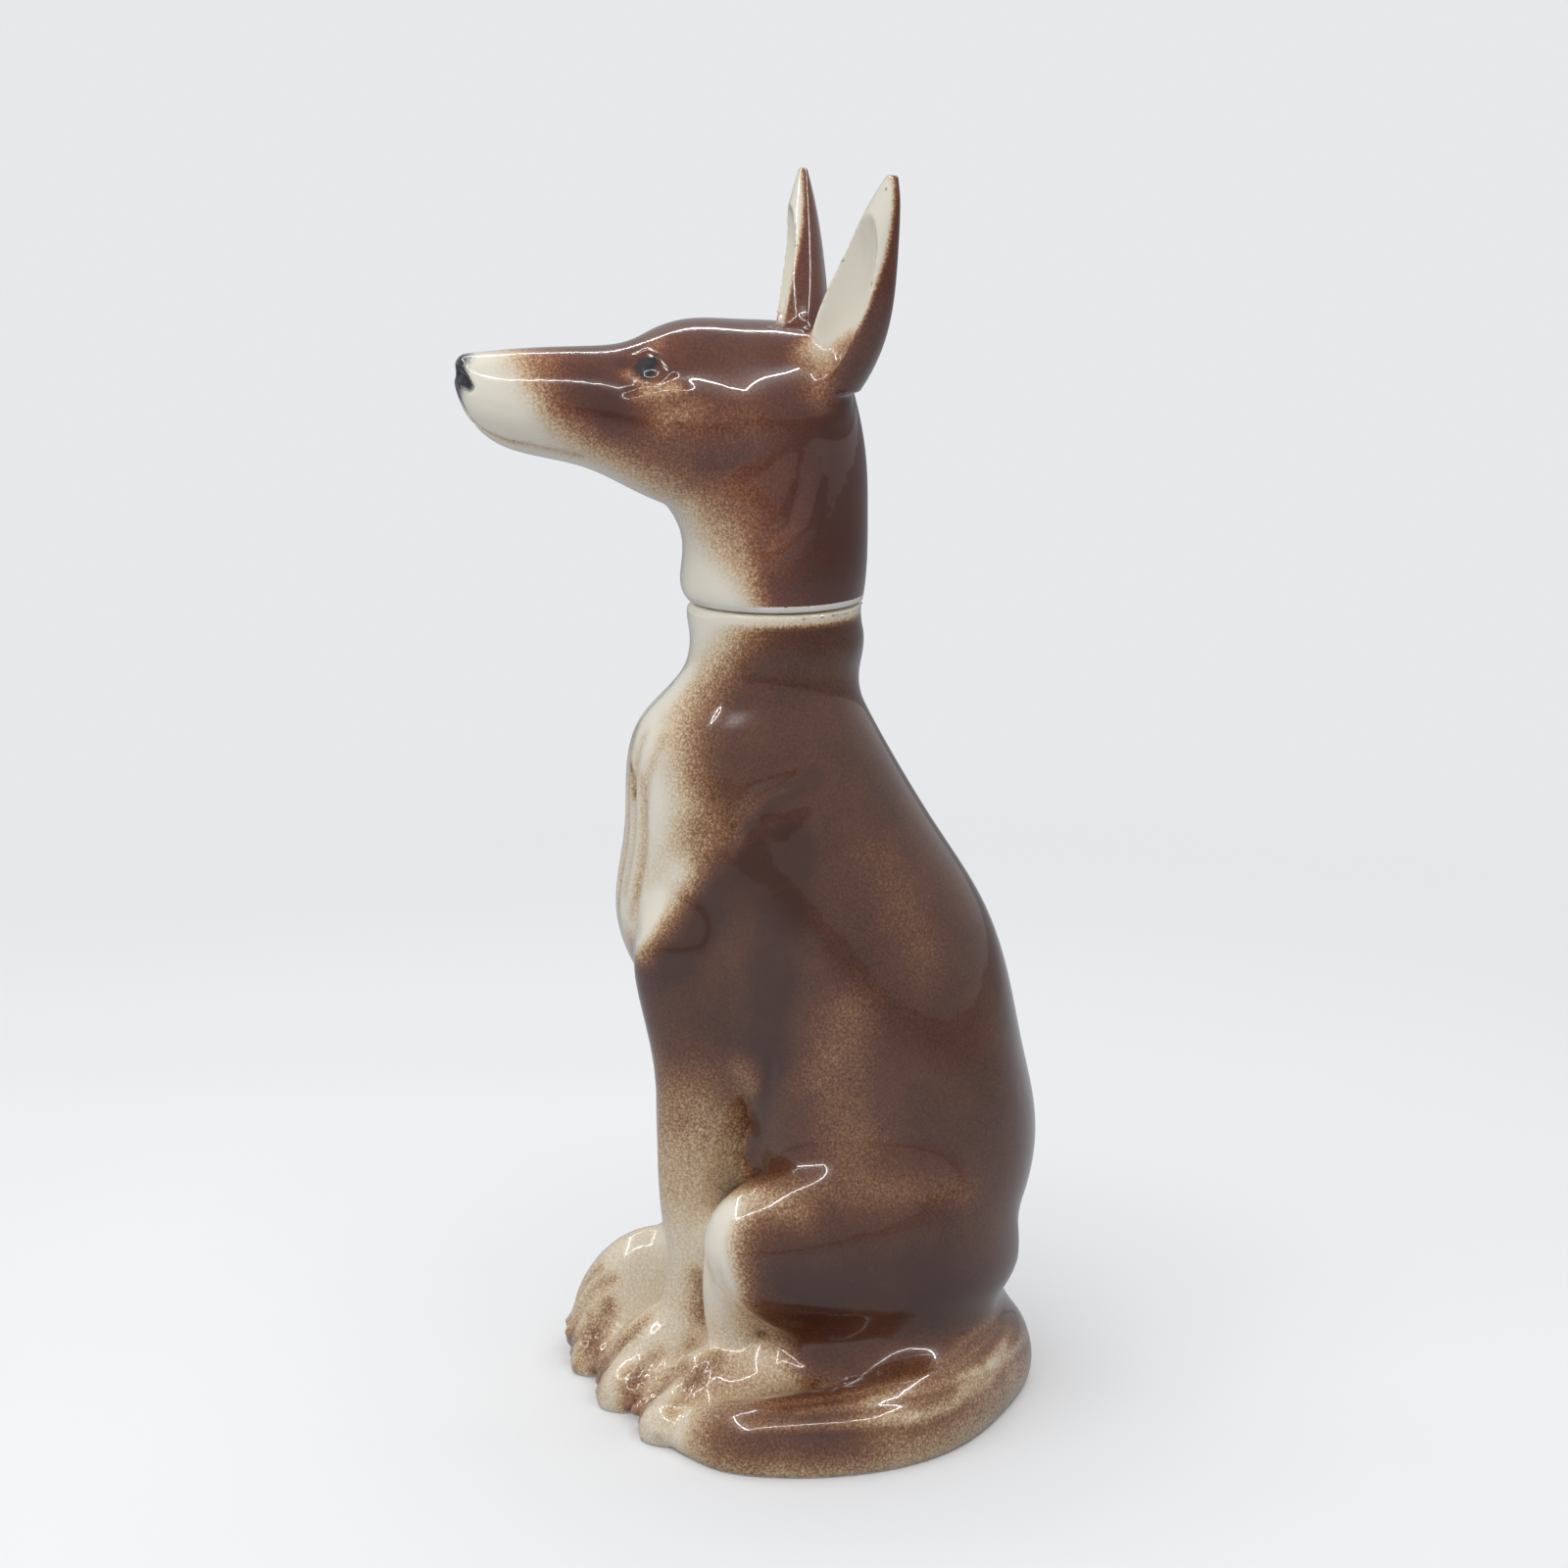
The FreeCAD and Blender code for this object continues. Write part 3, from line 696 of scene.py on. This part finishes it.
def make_cork():
    """Natural cork: grains of several tans with dark pores."""
    material, tree, shader = new_material("natural_cork")
    place = tree.nodes.new("ShaderNodeTexCoord")
    grains = add(tree, "ShaderNodeTexVoronoi", Scale=520)
    tree.links.new(place.outputs["Object"], grains.inputs["Vector"])
    grain_tone = tree.nodes.new("ShaderNodeSeparateColor")
    tree.links.new(grains.outputs["Color"], grain_tone.inputs["Color"])
    colour = tones(tree, grain_tone.outputs["Red"], CORK_TANS)
    pores = spread(tree, noise(tree, scale=310, detail=3), low=0.60, high=0.68)
    colour = blended(tree, pores, colour, CORK_PORE)
    tree.links.new(colour, shader.inputs["Base Color"])
    dryness = spread(tree, grains.outputs["Distance"], low=0.0, high=0.8, to_low=0.92, to_high=0.78)
    tree.links.new(dryness, shader.inputs["Roughness"])
    relief = maths(tree, "SUBTRACT", grains.outputs["Distance"], pores)
    bumped(tree, shader, relief, strength=0.5, distance=0.0003)
    return material


def round_rim(body):
    """Rounds the outer edge at the top of the neck."""
    x, y, z = body.points.T
    beyond = np.clip(np.hypot(x, y) - (NECK_RADIUS - RIM_ROUND), 0, RIM_ROUND)
    edge = NECK_TOP - (RIM_ROUND - np.sqrt(RIM_ROUND**2 - beyond**2))
    body.points[:, 2] = np.where((z > edge) & (np.abs(z - NECK_TOP) < RIM_BAND), edge, z)


def ear_hollow(points):
    """One inside the hollow of each ear and along its front edges."""
    x, y, z = points.T
    forward = np.array([math.sin(EAR_FACING), -math.cos(EAR_FACING), 0])
    middle = np.array(EAR_BASE) + EAR_CUP_RISE * np.array(EAR_LEAN) + EAR_CUP_AHEAD * forward
    axis = np.array(EAR_LEAN) / np.linalg.norm(EAR_LEAN)
    offset = np.stack([np.abs(x), y, z], 1) - middle
    along = offset @ axis
    across = np.linalg.norm(offset - along[:, None] * axis, axis=1)
    size = np.hypot(along / (EAR_PALE_TALL * EAR_CUP_TALL), across / EAR_CUP_WIDE)
    inner = EAR_PALE_INNER - EAR_PALE_NARROWING * ramp(z, *EAR_NARROWS_UP)
    return ramp(size, EAR_PALE_OUTER, inner) * ramp(z, *EAR_PALE_UP)


def inside_head(points):
    """One on the wall of the head's hollow, which no brush reaches."""
    x, y, z = points.T
    along, up = HEAD_HOLLOW_MIDDLE
    half_x, half_y, half_z = HEAD_HOLLOW_HALF
    size = (x / half_x) ** 2 + ((y - along) / half_y) ** 2 + ((z - up) / half_z) ** 2
    return (size < 1).astype(float)


def head_paint(head):
    """Chestnut above, ivory on the muzzle's tip, the jaw, the throat and inside the ears."""
    _, y, z = head.points.T
    above_jaw = (z - np.interp(y, *JAW_EDGE)) / np.interp(y, *JAW_SOFTNESS)
    brown = ramp(above_jaw, *JAW_FADE) * ramp(y, *MUZZLE_ALONG)
    brown = FULL_BROWN * brown * (1 - ear_hollow(head.points))
    nape = ramp(y, *NAPE_ALONG) * ramp(z, *NAPE_UP)
    head.paint["brown"] = np.clip(brown + NAPE_BROWN * nape, 0, 1)
    for side in SIDES:
        head.spray_side(side, HEAD_SPRAYS)
    head.paint["bare"] = np.maximum(ramp(z, *HEAD_RIM_UP), inside_head(head.points))


def model_eye(head, side):
    """A small eye set under a brow, with two lids and a fold of skin below it, and painted highlights
    under the brow and along the fold.
    """
    along, up = EYE_PLACE

    def line(places):
        return head.on_side(side, [(along + ahead, up + rise) for ahead, rise in places])

    for places, width, height, taper in EYE_FORMS:
        head.model(line(places), width, height, taper)
    for coat, places, width, amount in EYE_SPRAYS_AND_PAINTED_HIGHLIGHTS:
        head.spray(coat, line(places), width, amount)


def model_muzzle(head):
    """Nose leather, nostrils and the line of the lips."""
    tip = head.seated(NOSE)
    head.model(tip, width=4.0, height=0.5)
    head.spray("dark", tip, width=4.6, amount=1.0)
    head.spray("dark", head.seated(NOSE_LINE), width=0.9, amount=0.6)
    head.model(head.seated(LIP_CLEFT), width=0.9, height=-0.5)
    for side in SIDES:
        nostril = head.seated(on_one_side(side, NOSTRIL))
        head.model(nostril, width=1.0, height=-0.9)
        head.spray("dark", nostril, width=1.2, amount=0.7)
        lip = head.seated(on_one_side(side, LIP))
        head.model(lip, width=0.8, height=-0.5)
        head.spray("brown", lip, width=0.8, amount=0.22)
        head.model(head.seated(on_one_side(side, WHISKER_PAD)), width=4.5, height=0.6)


def inside_body(points):
    """One on the wall of the hollow and the neck's bore."""
    x, y, z = points.T
    bore = (x**2 + y**2 < BORE_REACH**2) & (z > BORE_BOTTOM)
    middle = np.interp(z, *HOLLOW_MIDDLE)
    reach = np.where(y < middle, np.interp(z, *HOLLOW_FRONT), np.interp(z, *HOLLOW_BACK))
    size = (x / np.interp(z, *HOLLOW_HALF)) ** 2 + ((y - middle) / reach) ** 2
    hollow = (size < HOLLOW_SHARE) & (z > HOLLOW_FLOOR) & (z < HOLLOW_TOP)
    return (bore | hollow).astype(float)


def body_paint(body):
    """Brown on back, shoulders and thighs, ivory on chest, lower legs and paws, with painted shade in the
    shoulder crease, the elbow groove and low on the thighs, and a painted highlight along the thighs'
    tops.
    """
    x, y, z = body.points.T
    outside = np.abs(x)
    brown = ramp(y - np.interp(z, *CHEST_EDGE), *CHEST_FADE)
    foreleg = ramp(y, np.interp(outside, *LEG_BACK), np.interp(outside, *LEG_FRONT))
    brown = brown * (1 - foreleg * (1 - np.interp(z, *LEG_TONE)))
    between_legs = ramp(outside, *BETWEEN_LEGS_ACROSS) * ramp(y, *BETWEEN_LEGS_ALONG)
    brown = brown * (1 - between_legs)
    under_thigh = ramp(np.interp(y, *THIGH_EDGE) - z, *THIGH_FADE) * ramp(outside, *THIGH_ACROSS)
    brown = brown * (1 - THIGH_WIPE * under_thigh)
    feet = ramp(z, *FEET_UP) * ramp(y, *FEET_ALONG)
    brown = brown * (1 - FOOT_WIPE * feet)
    brown = brown * (1 - RIM_WIPE * ramp(z, *NECK_RIM_UP))
    body.paint["brown"] = FULL_BROWN * brown
    # Brown strokes, with painted shade in creases and low on the thighs and a painted highlight along
    # their tops
    for side in SIDES:
        body.spray_side(side, BODY_BROWN_AND_PAINTED_LIGHT)
    body.paint["bare"] = np.maximum(inside_body(body.points), ramp(z, *FOOT_RIM_UP))


def model_chest(body):
    """Shoulder creases, the neck's cords, soft strands of hair down the chest and a short slit darkened
    with painted shade.
    """
    for side in SIDES:
        body.model_side(side, SHOULDER_FORMS)
    for strand in range(-STRANDS_EACH_SIDE, STRANDS_EACH_SIDE + 1):
        # The strand's number scatters its bend, top and length
        bend = STRAND_BEND * math.sin(2.1 * strand)
        top = STRAND_TOP - 2 * abs(strand) - 4 * (7 * strand % 5)
        length = STRAND_LENGTH + 5 * (3 * strand % 4)
        places = []
        for step in range(STRAND_STEPS + 1):
            share = step / STRAND_STEPS
            across = STRAND_SPACING * strand + bend * math.sin(math.pi * share)
            places.append((across, STRAND_AHEAD, top - share * length))
        line = body.from_front(places)
        body.model(line, width=1.3, height=-0.45, taper=0.6)
        body.spray("brown", line, width=1.8, amount=0.13)
    # Painted shade: the slit is pressed in and sprayed dark brown
    slit = body.from_front(SHADED_CHEST_SLIT)
    body.model(slit, width=1.0, height=-0.9, taper=0.5)
    body.spray("brown", slit, width=1.0, amount=0.6)


def tail_line(first, last, slope, rise, steps):
    """Places along the tail's skin, by turn round the body and slope up from the table, in degrees."""
    places = []
    for step in range(steps + 1):
        share = step / steps
        turn = math.radians(first + share * (last - first))
        lean = math.radians(slope + share * rise)
        reach = TAIL_REACH + TAIL_HALF * math.cos(lean)
        up = TAIL_MIDDLE + TAIL_RISE * math.sin(lean)
        places.append((reach * math.sin(turn), reach * math.cos(turn), up))
    return places


def model_tail(body):
    """A brown tail with paler bands and long locks of hair, joined to the hind paw at its tip."""
    x, y, z = body.points.T
    turn = np.degrees(np.arctan2(x, y))
    on_tail = ramp(np.hypot(x, y), *TAIL_OUT) * ramp(z, *TAIL_UP)
    on_tail = on_tail * ramp(turn, *TAIL_ROOT_TURN) * ramp(turn, *TAIL_TIP_TURN)
    tone = np.interp(z, *TAIL_TONE) * np.interp(turn, *TAIL_TIP_TONE)
    body.paint["brown"] = body.paint["brown"] * (1 - on_tail) + on_tail * tone
    bridge = body.seated(TAIL_BRIDGE)
    body.model(bridge, width=6, height=3.0, taper=0.4)
    body.spray("brown", bridge, width=5, amount=-0.20)
    for first, last, slope, width, amount in TAIL_BANDS:
        band = tail_line(first, last, slope, rise=0, steps=4)
        body.spray("brown", body.seated(band), width, amount)
    for first, last, slope, rise in TAIL_LOCKS:
        lock = tail_line(first, last, slope, rise, steps=6)
        line = body.seated(lock)
        body.model(line, width=1.2, height=-0.35, taper=0.8)
        body.spray("brown", line, width=1.3, amount=0.12)
        pale = body.seated([(across, along, up + LOCK_PALE_RISE) for across, along, up in lock])
        body.spray("brown", pale, width=1.6, amount=-0.18)


def model_paw(body, middle, front, length, width, height, tilt):
    """Grooves that rise and draw together between the toes, brown in them, and a claw on each toe."""
    spacing = TOE_SHARE * width / len(TOES)
    for gap in TOE_GAPS:
        groove = []
        for step in range(GROOVE_STEPS + 1):
            share = step / GROOVE_STEPS
            across = middle + gap * spacing * (1 - GROOVE_CLOSING * share) + tilt * share
            back = front + GROOVE_STAGGER * abs(gap) + length * share**GROOVE_CURVE
            groove.append((across, back, GROOVE_FOOT + height * math.sqrt(share)))
        line = body.seated(groove)
        body.model(line, width=1.5, height=-1.3, taper=0.3)
        body.spray("brown", line, width=1.9, amount=0.20)
    edge = []
    for toe in TOES:
        edge.append((middle + toe * spacing, front + TOE_EDGE_STAGGER * abs(toe), TOE_EDGE_HEIGHT))
    body.spray("brown", body.seated(edge), width=3.2, amount=0.18)
    for toe in TOES:
        claw = body.seated([(middle + toe * spacing, front + CLAW_STAGGER * abs(toe), CLAW_HEIGHT)])
        body.model(claw, width=1.3, height=0.7)
        body.spray("pink", claw, width=1.2, amount=0.9)
        body.spray("brown", claw, width=2.6, amount=0.18)


def model_feet(body):
    """A tan wash over the feet, forepaws and hind paws, brown along the heels, and painted shade in the
    hollow where each foreleg meets the hind paw.
    """
    _, y, z = body.points.T
    wash = FOOT_WASH * ramp(z, *WASH_UP) * ramp(y, *WASH_ALONG)
    body.paint["brown"] = np.clip(body.paint["brown"] + wash, 0, 1)
    model_paw(body, *LEFT_FOREPAW)
    model_paw(body, *RIGHT_FOREPAW)
    for side in SIDES:
        model_paw(body, HIND_PAW_MIDDLE * side, *HIND_PAW)
        for toe in OUTER_TOES:
            groove = body.seated(on_one_side(side, toe))
            body.model(groove, width=1.6, height=-1.1, taper=0.6)
            body.spray("brown", groove, width=2.2, amount=0.20)
        for place in OUTER_CLAWS:
            claw = body.seated(on_one_side(side, [place]))
            body.model(claw, width=1.4, height=0.7)
            body.spray("pink", claw, width=1.3, amount=0.9)
        body.spray("brown", body.seated(on_one_side(side, HEEL)), width=7, amount=0.24)
        # Painted shade: dark brown in the hollow where the foreleg meets the hind paw
        hollow = body.seated(on_one_side(side, LEG_HOLLOW_SHADE))
        body.model(hollow, width=3, height=-0.8, taper=0.5)
        body.spray("brown", hollow, width=3.5, amount=0.40)


def both_sides(plug):
    """A plug given for the dog's left, and its mirror image."""
    place, half_sizes = plug
    return [(on_one_side(side, [place])[0], half_sizes) for side in SIDES]


def make_body(glaze, bare):
    """The glazed body: creases filled, small steps evened, then painted and modelled."""
    plugs = both_sides(FORELEG_PLUG) + both_sides(TOE_PLUG) + [FOREPAW_PLUG, TAIL_TIP_PLUG]
    body = Skin("body_vessel", "body_glazed", BODY_VOXEL, plugs=plugs)
    _, y, z = body.points.T
    outer = (1 - inside_body(body.points)) * ramp(z, *ABOVE_TABLE)
    legs = outer * ramp(z, *LEGS_UP)
    toes = outer * ramp(z, *TOES_UP) * ramp(y, *TOES_ALONG)
    paws = outer * ramp(z, *PAWS_UP) * ramp(y, *PAWS_ALONG)
    low_rear = outer * ramp(z, *REAR_UP) * ramp(y, *REAR_ALONG)
    body.smooth(rounds=2)
    body.fill(rounds=60, mask=outer)
    body.fill(rounds=190, mask=legs)
    body.soften(rounds=16, mask=toes)
    body.fill(rounds=120, mask=paws)
    body.soften(rounds=6, mask=low_rear)
    body.smooth(rounds=5)
    body.ready()
    body_paint(body)
    model_chest(body)
    for side in SIDES:
        body.model_side(side, LEG_FORMS)
    model_tail(body)
    model_feet(body)
    body.smooth(rounds=1)
    round_rim(body)
    body.points[:, 2] = np.maximum(body.points[:, 2], 0)
    body.finish("vessel", "body_vessel", glaze, bare)


def make_head(glaze, bare):
    """The glazed head: joins filled, ear roots and temples melted in, then painted and modelled."""
    head = Skin("head_stopper", "head_glazed", HEAD_VOXEL, HEAD_TURN)
    outer = 1 - inside_head(head.points)
    above_peg = ramp(head.points[:, 2], *ABOVE_PEG)
    head.smooth(rounds=2)
    head.fill(rounds=45, mask=outer * above_peg)
    x, y, z = head.points.T
    root_x, root_y, root_z = EAR_ROOT
    ear_root = bell(np.hypot(np.hypot(np.abs(x) - root_x, y - root_y), z - root_z), EAR_ROOT_REACH)
    temple_y, temple_z = TEMPLE
    from_temple = np.hypot(TEMPLE_STRETCH * (y - temple_y), z - temple_z)
    temple = ramp(np.abs(x), *TEMPLE_ACROSS) * bell(from_temple, TEMPLE_REACH)
    head.soften(rounds=30, mask=outer * ear_root)
    head.soften(rounds=150, mask=outer * temple)
    head.smooth(rounds=3)
    head.ready()
    head_paint(head)
    for side in SIDES:
        head.model_side(side, CHEEK_AND_NECK_FORMS)
    model_muzzle(head)
    for side in SIDES:
        model_eye(head, side)
    head.smooth(rounds=1)
    head.finish("head", "head_stopper", glaze, bare)


def dress_cork():
    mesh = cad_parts["cork_sleeve"].data
    mesh.materials.clear()
    mesh.materials.append(make_cork())


def make_floor_look():
    """A pale floor that the camera sees fade into the backdrop away from the object."""
    material, tree, shader = new_material("pale_floor")
    light_path = tree.nodes.new("ShaderNodeLightPath")
    to_camera = light_path.outputs["Is Camera Ray"]
    pale_tone = blended(tree, noise(tree, scale=3, detail=2), *FLOOR_TONES)
    colour = blended(tree, to_camera, FLOOR_BOUNCE, pale_tone)
    tree.links.new(colour, shader.inputs["Base Color"])
    shader.inputs["Roughness"].default_value = 0.8
    shader.inputs["Specular IOR Level"].default_value = 0.2
    place = tree.nodes.new("ShaderNodeTexCoord")
    length = tree.nodes.new("ShaderNodeVectorMath")
    length.operation = "LENGTH"
    tree.links.new(place.outputs["Object"], length.inputs[0])
    away = spread(tree, length.outputs["Value"], FLOOR_NEAR, FLOOR_FAR)
    pale = add(tree, "ShaderNodeEmission", Color=(*BACKDROP, 1), Strength=1.0)
    mixed = tree.nodes.new("ShaderNodeMixShader")
    tree.links.new(maths(tree, "MULTIPLY", away, to_camera), mixed.inputs["Fac"])
    tree.links.new(shader.outputs["BSDF"], mixed.inputs[1])
    tree.links.new(pale.outputs["Emission"], mixed.inputs[2])
    tree.links.new(mixed.outputs["Shader"], tree.nodes["Material Output"].inputs["Surface"])
    return material


def make_floor():
    work = bmesh.new()
    bmesh.ops.create_grid(work, x_segments=1, y_segments=1, size=FLOOR_HALF)
    mesh = bpy.data.meshes.new("floor")
    work.to_mesh(mesh)
    work.free()
    floor = bpy.data.objects.new("floor", mesh)
    scene.collection.objects.link(floor)
    mesh.materials.append(make_floor_look())


def make_sky():
    """A plain grey sky that the camera sees as the pale backdrop."""
    world = bpy.data.worlds.new("studio")
    scene.world = world
    world.use_nodes = True
    tree = world.node_tree
    light_path = tree.nodes.new("ShaderNodeLightPath")
    colour = blended(tree, light_path.outputs["Is Camera Ray"], SKY, BACKDROP)
    tree.links.new(colour, tree.nodes["Background"].inputs["Color"])


def add_lamp(name, place, target, size, power, mirrored=True):
    """A lamp with a flat rectangular face aimed at a target, seen in the glaze only where mirrored."""
    lamp = bpy.data.lights.new(name, "AREA")
    lamp.shape = "RECTANGLE"
    lamp.size, lamp.size_y = size
    lamp.energy = power
    made = bpy.data.objects.new(name, lamp)
    made.location = place
    made.visible_glossy = mirrored
    made.rotation_euler = (Vector(target) - Vector(place)).to_track_quat("-Z", "Y").to_euler()
    scene.collection.objects.link(made)


def make_lamps():
    """A square frame of thin tubes overhead, and a dim soft panel that the glaze doesn't mirror."""
    along_y = (TUBE_WIDTH, 2 * FRAME_HALF)
    along_x = (2 * FRAME_HALF, TUBE_WIDTH)
    for name, across, along, size in (
        ("frame_near", FRAME_HALF, 0.0, along_y),
        ("frame_far", -FRAME_HALF, 0.0, along_y),
        ("frame_front", 0.0, -FRAME_HALF, along_x),
        ("frame_back", 0.0, FRAME_HALF, along_x),
    ):
        x = FRAME_MIDDLE[0] + across
        y = FRAME_MIDDLE[1] + along
        add_lamp(name, (x, y, FRAME_HEIGHT), (x, y, 0.0), size, TUBE_POWER)
    add_lamp("panel", PANEL_PLACE, PANEL_TARGET, PANEL_SIZE, PANEL_POWER, mirrored=False)


def make_camera():
    lens = bpy.data.cameras.new("camera")
    lens.lens = CAMERA_LENS
    lens.sensor_width = SENSOR_WIDTH
    lens.clip_start = CLIP_START
    camera = bpy.data.objects.new("camera", lens)
    camera.location = Vector((NECK_AXIS + np.array(CAMERA_PLACE)) / 1000)
    level = math.cos(CAMERA_PITCH)
    look = Vector(
        (-math.sin(CAMERA_AZIMUTH) * level, math.cos(CAMERA_AZIMUTH) * level, -math.sin(CAMERA_PITCH))
    )
    camera.rotation_euler = look.to_track_quat("-Z", "Y").to_euler()
    scene.collection.objects.link(camera)
    scene.camera = camera


bisque = make_bisque()
make_body(make_glaze("brown_glaze_body", BODY_TONES), bisque)
make_head(make_glaze("brown_glaze_head", HEAD_TONES), bisque)
dress_cork()
make_floor()
make_sky()
make_lamps()
make_camera()
scene.view_settings.view_transform = "Standard"
